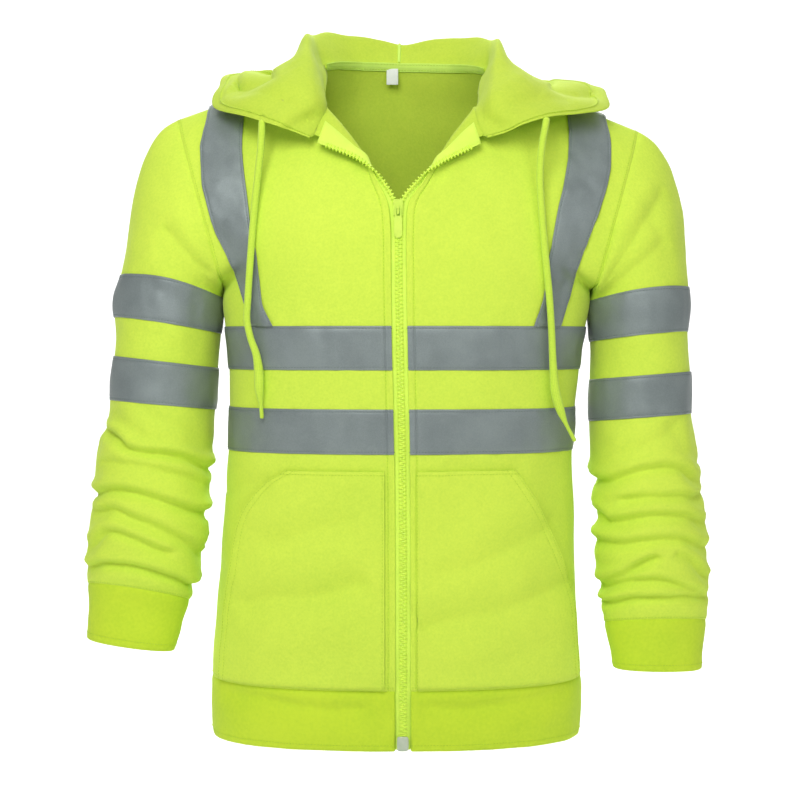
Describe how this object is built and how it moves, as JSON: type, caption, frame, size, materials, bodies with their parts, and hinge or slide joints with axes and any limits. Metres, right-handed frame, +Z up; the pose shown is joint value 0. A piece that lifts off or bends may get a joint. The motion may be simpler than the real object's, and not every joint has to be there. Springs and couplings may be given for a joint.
{
  "type": "reflective hooded jacket",
  "caption": "High-visibility zip-front fleece hoodie with reflective bands and braces, hood turned down, front pockets and a drawstring, shown filled out and empty.",
  "frame": {"origin": "where the wearer's neck and shoulders hold the jacket: on the centre line, level with the shoulders", "axes": "+Z up, the zip front faces -Y, +X is the viewer's right; the origin is the mount named shoulders"},
  "size_m": [0.6885, 0.3082, 0.7985],
  "materials": {
    "fleece": "matte brushed",
    "rib": "matte knit",
    "trim": "matte woven",
    "reflective_tape": "satin",
    "zip_metal": "satin",
    "zip_plastic": "satin",
    "cord": "matte braid"
  },
  "bodies": {
    "garment": {"front_left": "fleece", "front_right": "fleece", "back_panel": "fleece", "sleeve_left": "fleece", "sleeve_right": "fleece", "cuff_left": "rib", "cuff_right": "rib", "hem_band": "rib", "hood": "fleece", "neck_tape": "trim", "pocket_left": "fleece", "pocket_right": "fleece", "front_tape_upper_left": "reflective_tape", "front_tape_upper_right": "reflective_tape", "front_tape_lower_left": "reflective_tape", "front_tape_lower_right": "reflective_tape", "back_tape_upper": "reflective_tape", "back_tape_lower": "reflective_tape", "brace_left": "reflective_tape", "brace_right": "reflective_tape", "sleeve_tape_upper_left": "reflective_tape", "sleeve_tape_upper_right": "reflective_tape", "sleeve_tape_lower_left": "reflective_tape", "sleeve_tape_lower_right": "reflective_tape", "zip_left": "trim", "zip_right": "trim", "zip_slider": "zip_metal", "drawstring_left": "cord", "drawstring_right": "cord"},
    "pull": {"zip_pull": "zip_plastic"}
  },
  "joints": [
    {"name": "pull_hinge", "type": "hinge", "parent": "garment", "child": "pull", "pos_m": [-0.002, -0.121, -0.13], "axis": [-1, 0, 0], "range_deg": [0, 150]}
  ]
}
